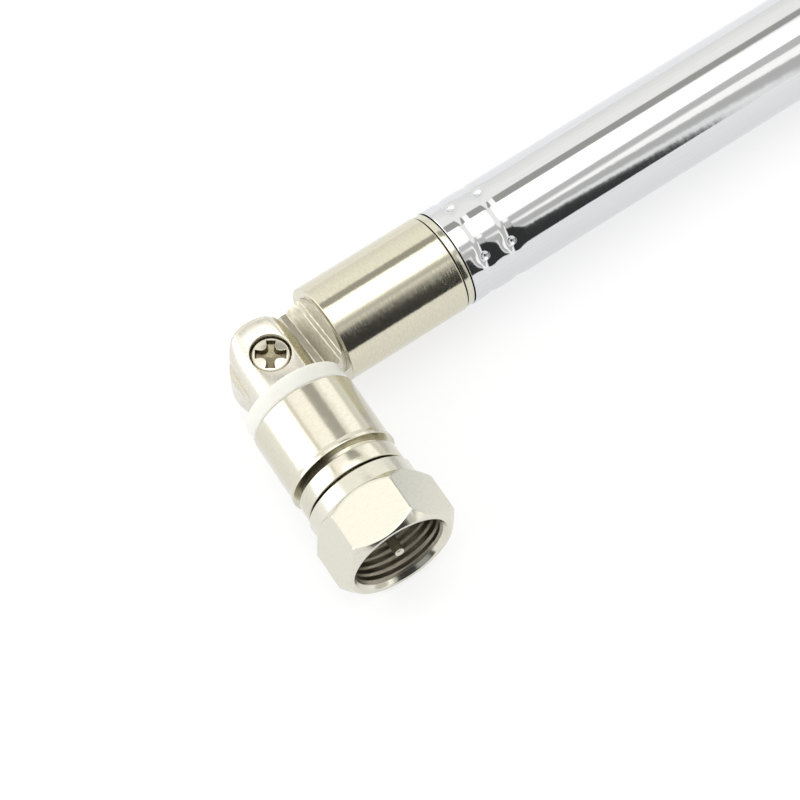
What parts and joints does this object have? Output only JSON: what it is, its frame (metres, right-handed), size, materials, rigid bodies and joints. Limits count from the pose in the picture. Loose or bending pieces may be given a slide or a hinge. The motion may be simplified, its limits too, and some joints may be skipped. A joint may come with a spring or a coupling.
{
  "type": "telescopic rabbit ears antenna",
  "caption": "Telescopic whip with friction elbow, swivel and screw-on coaxial plug, for indoor television and radio reception.",
  "frame": {"origin": "centre of the coupling nut's front face, on the plug's axis", "axes": "+X out of the plug, the way the mating socket leaves it; +Z along the elbow's hinge axis, out of the screw head; the rod points close to +Y at rest"},
  "size_m": [0.0401, 0.2112, 0.0122],
  "materials": {
    "nickel": "nickel plate over turned brass, satin",
    "steel": "nickel plated steel",
    "chrome": "mirror chrome",
    "white_plastic": "milky white, half matt",
    "brass": "plain turned brass"
  },
  "bodies": {
    "plug": {"plug_post": "nickel", "rear_collar": "nickel", "plug_barrel": "nickel", "pin_insulator": "white_plastic", "centre_pin": "nickel", "insulator_ring": "white_plastic", "stud_clip": "steel", "elbow_stud": "nickel"},
    "nut": {"coupling_nut": "nickel"},
    "elbow": {"elbow_arm": "nickel", "swivel_sleeve": "nickel", "hinge_screw": "steel", "lock_washer": "steel", "friction_washer": "brass", "swivel_washer": "nickel", "swivel_rivet": "brass"},
    "mast_1": {"tube_1": "chrome", "base_plug": "brass", "swivel_spring": "steel"},
    "mast_2": {"tube_2": "chrome", "friction_bush_2": "brass"},
    "mast_3": {"tube_3": "chrome", "friction_bush_3": "brass"},
    "mast_4": {"tube_4": "chrome", "friction_bush_4": "brass"},
    "mast_5": {"tube_5": "chrome", "friction_bush_5": "brass"},
    "mast_6": {"tube_6": "chrome", "friction_bush_6": "brass"},
    "mast_7": {"tip_rod": "chrome", "friction_bush_7": "brass", "tip_cap": "chrome"}
  },
  "joints": [
    {"name": "nut_spin", "type": "hinge", "parent": "plug", "child": "nut", "pos_m": [0, 0, 0], "axis": [1, 0, 0], "continuous": true},
    {"name": "elbow_fold", "type": "hinge", "parent": "plug", "child": "elbow", "pos_m": [-0.0231, 0, 0], "axis": [0, 0, 1], "range_deg": [-3.6, 176.4]},
    {"name": "mast_swivel", "type": "hinge", "parent": "elbow", "child": "mast_1", "pos_m": [-0.0231, 0, 0], "axis": [-0.0628, 0.998, 0], "continuous": true},
    {"name": "slide_2", "type": "slide", "parent": "mast_1", "child": "mast_2", "axis": [-0.0628, 0.998, 0], "range_m": [0, 0.146]},
    {"name": "slide_3", "type": "slide", "parent": "mast_2", "child": "mast_3", "axis": [-0.0628, 0.998, 0], "range_m": [0, 0.147]},
    {"name": "slide_4", "type": "slide", "parent": "mast_3", "child": "mast_4", "axis": [-0.0628, 0.998, 0], "range_m": [0, 0.148]},
    {"name": "slide_5", "type": "slide", "parent": "mast_4", "child": "mast_5", "axis": [-0.0628, 0.998, 0], "range_m": [0, 0.149]},
    {"name": "slide_6", "type": "slide", "parent": "mast_5", "child": "mast_6", "axis": [-0.0628, 0.998, 0], "range_m": [0, 0.15]},
    {"name": "slide_7", "type": "slide", "parent": "mast_6", "child": "mast_7", "axis": [-0.0628, 0.998, 0], "range_m": [0, 0.151]}
  ]
}
